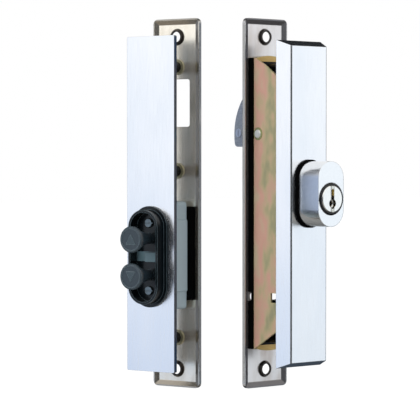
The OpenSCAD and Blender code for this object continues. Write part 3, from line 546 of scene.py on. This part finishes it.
def gloss_black_abs():
    """Polished black ABS: near mirror, with painted highlights along its edges and on the web between the
    buttons, which is painted paler slate.
    """
    black = tuple(colours().escutcheon)
    material, tree, shader, place = surface("gloss_black_abs", black, IOR=1.53, Specular_IOR_Level=0.3)
    across, _, up = axes(tree, unit_frame(tree, place, True))
    at_level = within(tree, up, WEB_HALF_HEIGHT, WEB_LEVEL)
    web = maths(tree, "MULTIPLY", at_level, within(tree, across, WEB_HALF_WIDTH))
    # Painted highlight: the web between the buttons is paler slate
    web_highlit = mixed(tree, web, black, linear("5C737B"))
    # Painted highlight along the edges
    paint(tree, shader, painted_edge_light(tree, web_highlit, 0.5 * MM, "55656C"))
    moulded_skin(tree, shader, place, 1.6 * sizes().edge_round, texture=0.06, smooth=0.14, rough=0.24)
    return material


def slate_abs():
    """Slate ABS with a semi-gloss moulded skin: the raised mark on each button is paler, and a painted
    highlight runs along the edges.
    """
    slate = tuple(colours().button)
    material, tree, shader, place = surface("slate_abs", slate, IOR=1.53)
    across, out, up = axes(tree, unit_frame(tree, place, True))
    height = maths(tree, "ABSOLUTE", maths(tree, "SUBTRACT", up, BUTTONS_LEVEL))
    from_button = reach(tree, across, maths(tree, "SUBTRACT", height, BUTTON_OFFSET))
    near = maths(tree, "LESS_THAN", from_button, MARK_RADIUS)
    mark = maths(tree, "MULTIPLY", near, maths(tree, "LESS_THAN", out, BUTTON_FACE))
    marked = mixed(tree, mark, slate, linear("313F46"))
    # Painted highlight along the edges
    paint(tree, shader, painted_edge_light(tree, marked, 0.45 * MM, "66767D"))
    moulded_skin(tree, shader, place, sizes().edge_round, texture=0.1, smooth=0.26, rough=0.36)
    return material


class LOCKSET_OT_trays(bpy.types.Operator):
    """Bright-rolled trays and their rubber packings"""

    bl_idname = "lockset.trays"
    bl_label = "Trays and packings"

    def execute(self, context):
        # Each tray's rim colour is painted shade, darker than its sheet
        dress(bright_rolled_stainless(
            "outer_bright_stainless", inner=False, middle=tuple(colours().tray),
            low="C8BBB2", high="F4F2F2", rim="7C7A7C", metal=0.66), "outer_tray")
        dress(bright_rolled_stainless(
            "inner_bright_stainless", inner=True, middle=tuple(colours().inner_tray),
            low="DCD1BF", high="FFFBF0", rim="B0AA9F", metal=0.8), "inner_tray")
        # The inner packing's black also stands for painted shade: the dark reflection and shade on the inner
        # tray beside the button case
        dress(black_sheet_rubber(), "outer_packing", "inner_packing", "cylinder_gasket")
        return {"FINISHED"}


class LOCKSET_OT_lock_case(bpy.types.Operator):
    """Passivated lock case, its rivet, and the train inside it"""

    bl_idname = "lockset.lock_case"
    bl_label = "Lock case"

    def execute(self, context):
        dress(yellow_passivated_zinc(), "lock_case")
        dress(peened_rivet(), "hook_pivot")
        dress(plated_steel("black_zinc", "2E2F31", smooth=0.35, rough=0.5),
              "outer_posts", "outer_post_screws", "cylinder_screws", "guide_pins", "plug_clip", "cam_screw",
              "hook_drive_pin", "open_clip", "close_clip", "rocker_pin")
        dress(plated_steel("clear_zinc", "D4D5D3", smooth=0.24, rough=0.36),
              "slide_bar", "tail_cam", "hook_spacers", "rocker", "driver_pins", "pin_springs")
        dress(turned_brass(), "key_pins", "pin_cap")
        return {"FINISHED"}


class LOCKSET_OT_hook(bpy.types.Operator):
    """Ground hook and its slotted hardened pin"""

    bl_idname = "lockset.hook"
    bl_label = "Hook"

    def execute(self, context):
        dress(ground_hook_steel(), "hook")
        dress(plated_steel("hardened_pin", "DEE2E9", smooth=0.28, rough=0.4), "hook_insert")
        return {"FINISHED"}


class LOCKSET_OT_covers(bpy.types.Operator):
    """Satin covers of both units"""

    bl_idname = "lockset.covers"
    bl_label = "Covers"

    def execute(self, context):
        dress(satin_anodised_aluminium("outer_satin_aluminium"), "outer_cover", "backplate")
        dress(satin_anodised_aluminium("inner_satin_aluminium", COVER_SHADE_SIDE), "inner_cover")
        return {"FINISHED"}


class LOCKSET_OT_cylinder(bpy.types.Operator):
    """Cylinder housing, collar and key plug"""

    bl_idname = "lockset.cylinder"
    bl_label = "Key cylinder"

    def execute(self, context):
        low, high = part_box("key_plug")
        dress(satin_chrome_plate(), "cylinder_housing")
        dress(moulded_abs("gloss_black_collar", linear("060708"),
                          smooth=0.2, rough=0.26, texture=0.05, shine=0.4), "plug_collar")
        dress(turned_nickel_steel((low[2] + high[2]) / 2), "key_plug")
        return {"FINISHED"}


class LOCKSET_OT_button_unit(bpy.types.Operator):
    """Grey case, posts, glossy escutcheon and the two push buttons"""

    bl_idname = "lockset.button_unit"
    bl_label = "Button unit"

    def execute(self, context):
        dress(moulded_abs("spark_eroded_grey_abs", tuple(colours().grey_case),
                          smooth=0.45, rough=0.6, texture=0.25, shine=0.5), "button_case")
        dress(gloss_black_abs(), "escutcheon")
        dress(slate_abs(), "open_button", "close_button")
        dress(dark_flanged_post(), "inner_posts")
        dress(plated_steel("grey_screw_zinc", "7C8A92", smooth=0.35, rough=0.5),
              "inner_post_screws", "escutcheon_screws")
        return {"FINISHED"}


class LOCKSET_OT_stage(bpy.types.Operator):
    """Floor, studio light and camera"""

    bl_idname = "lockset.stage"
    bl_label = "Stage"

    def execute(self, context):
        scene = context.scene
        scene.view_settings.view_transform = "Standard"
        self.camera(scene)
        self.floor(scene)
        self.tent(scene)
        for name, place, side, power in LAMPS:
            self.lamp(scene, name, place, side, power)
        return {"FINISHED"}

    def camera(self, scene):
        """The photograph's camera, aimed so that the frame's origin falls on its pixel."""
        back = Vector((math.sin(VIEW_AZIMUTH) * math.cos(VIEW_ELEVATION),
                       -math.cos(VIEW_AZIMUTH) * math.cos(VIEW_ELEVATION), math.sin(VIEW_ELEVATION)))
        right = Vector((math.cos(VIEW_AZIMUTH), math.sin(VIEW_AZIMUTH), 0))
        up = back.cross(right)
        per_pixel = sizes().camera_distance * SENSOR / LENS / PICTURE
        target = (right * (PICTURE / 2 - ORIGIN_PIXEL[0]) - up * (PICTURE / 2 - ORIGIN_PIXEL[1])) * per_pixel
        data = bpy.data.cameras.new("camera")
        data.lens, data.sensor_width = LENS, SENSOR
        data.clip_start, data.clip_end = CLIP_START, CLIP_END
        camera = bpy.data.objects.new("camera", data)
        camera.location = target + back * sizes().camera_distance
        camera.rotation_mode = "QUATERNION"
        camera.rotation_quaternion = (-back).to_track_quat("-Z", "Y")
        scene.collection.objects.link(camera)
        scene.camera = camera

    def floor(self, scene):
        """A white floor just under the lock set, which glows to the camera and keeps a trace of shadow."""
        mesh = bpy.data.meshes.new("floor")
        bm = bmesh.new()
        bmesh.ops.create_grid(bm, x_segments=1, y_segments=1, size=FLOOR_HALF)
        bm.to_mesh(mesh)
        bm.free()
        floor = bpy.data.objects.new("floor", mesh)
        floor.location.z = CAD_BOX[0][2] - FLOOR_GAP
        floor.visible_glossy = False
        scene.collection.objects.link(floor)
        material = bpy.data.materials.new("white_card")
        material.use_nodes = True
        tree = material.node_tree
        tree.nodes.clear()
        card = add(tree, "ShaderNodeBsdfDiffuse", Color=linear("F8F8F8"))
        white = add(tree, "ShaderNodeEmission", Color=WHITE, Strength=FLOOR_GLOW)
        ray = add(tree, "ShaderNodeLightPath")
        share = maths(tree, "MULTIPLY", ray.outputs["Is Camera Ray"], FLOOR_SHARE)
        both = add(tree, "ShaderNodeMixShader", in0=share, in1=card.outputs[0], in2=white.outputs[0])
        add(tree, "ShaderNodeOutputMaterial", in0=both.outputs[0])
        mesh.materials.append(material)

    def tent(self, scene):
        """A white photographer's tent: dark at the camera's opening and behind on the right, grey below and
        white elsewhere. Only reflections see its shades: diffuse light is even, and the camera sees white."""
        world = bpy.data.worlds.new("tent")
        scene.world = world
        world.use_nodes = True
        tree = world.node_tree
        tree.nodes.clear()
        direction = add(tree, "ShaderNodeTexCoord").outputs["Generated"]
        across, out, up = axes(tree, direction)
        turn = ranged(tree, maths(tree, "ARCTAN2", out, across), -math.pi, math.pi)
        level, dusk, high, low = (
            ramp(tree, turn, [((angle + 180) / 360, linear(shade)) for angle, shade in ring])
            for ring in (TENT_LEVEL, TENT_DUSK, TENT_HIGH, TENT_LOW))
        middle = mixed(tree, ranged(tree, up, *DUSK_BAND), level, dusk)
        upper = mixed(tree, ranged(tree, up, *HIGH_BAND), middle, high)
        whole = mixed(tree, ranged(tree, up, *LOW_BAND), upper, low)
        ray = add(tree, "ShaderNodeLightPath")
        soft = add(tree, "ShaderNodeBackground", Color=TENT_SOFT_COLOUR, Strength=TENT_SOFT)
        shine = add(tree, "ShaderNodeBackground", Color=whole, Strength=TENT_SHINE)
        seen = add(tree, "ShaderNodeBackground", Color=WHITE, Strength=1.0)
        lit = add(tree, "ShaderNodeMixShader", in0=ray.outputs["Is Glossy Ray"], in1=soft.outputs[0],
                  in2=shine.outputs[0])
        shown = add(tree, "ShaderNodeMixShader", in0=ray.outputs["Is Camera Ray"], in1=lit.outputs[0],
                    in2=seen.outputs[0])
        add(tree, "ShaderNodeOutputWorld", in0=shown.outputs[0])

    def lamp(self, scene, name, place, side, power):
        """A square soft lamp aimed at the middle of the lock set."""
        data = bpy.data.lights.new(name, "AREA")
        data.shape, data.size, data.energy = "SQUARE", side, power
        lamp = bpy.data.objects.new(name, data)
        lamp.location = place
        lamp.rotation_mode = "QUATERNION"
        lamp.rotation_quaternion = (-Vector(place)).to_track_quat("-Z", "Y")
        lamp.visible_glossy = False
        scene.collection.objects.link(lamp)


class LOCKSET_PT_panel(bpy.types.Panel):
    """Lists the lock set's operators, sizes and colours"""

    bl_idname = "LOCKSET_PT_panel"
    bl_label = "Lock Set"
    bl_space_type = "VIEW_3D"
    bl_region_type = "UI"
    bl_category = "Lock Set"

    def draw(self, context):
        for operator in OPERATORS:
            self.layout.operator(operator.bl_idname)
        for group in (context.scene.lock_sizes, context.scene.lock_colours):
            for name in group.__annotations__:
                self.layout.prop(group, name)


OPERATORS = (LOCKSET_OT_trays, LOCKSET_OT_lock_case, LOCKSET_OT_hook, LOCKSET_OT_covers, LOCKSET_OT_cylinder,
             LOCKSET_OT_button_unit, LOCKSET_OT_stage)
CLASSES = (LockSizes, LockColours) + OPERATORS + (LOCKSET_PT_panel,)


def register():
    for cls in CLASSES:
        bpy.utils.register_class(cls)
    bpy.types.Scene.lock_sizes = bpy.props.PointerProperty(type=LockSizes)
    bpy.types.Scene.lock_colours = bpy.props.PointerProperty(type=LockColours)


def unregister():
    del bpy.types.Scene.lock_colours
    del bpy.types.Scene.lock_sizes
    for cls in reversed(CLASSES):
        bpy.utils.unregister_class(cls)


def main():
    register()
    bpy.ops.lockset.trays()
    bpy.ops.lockset.lock_case()
    bpy.ops.lockset.hook()
    bpy.ops.lockset.covers()
    bpy.ops.lockset.cylinder()
    bpy.ops.lockset.button_unit()
    bpy.ops.lockset.stage()


if __name__ == "__main__":
    main()
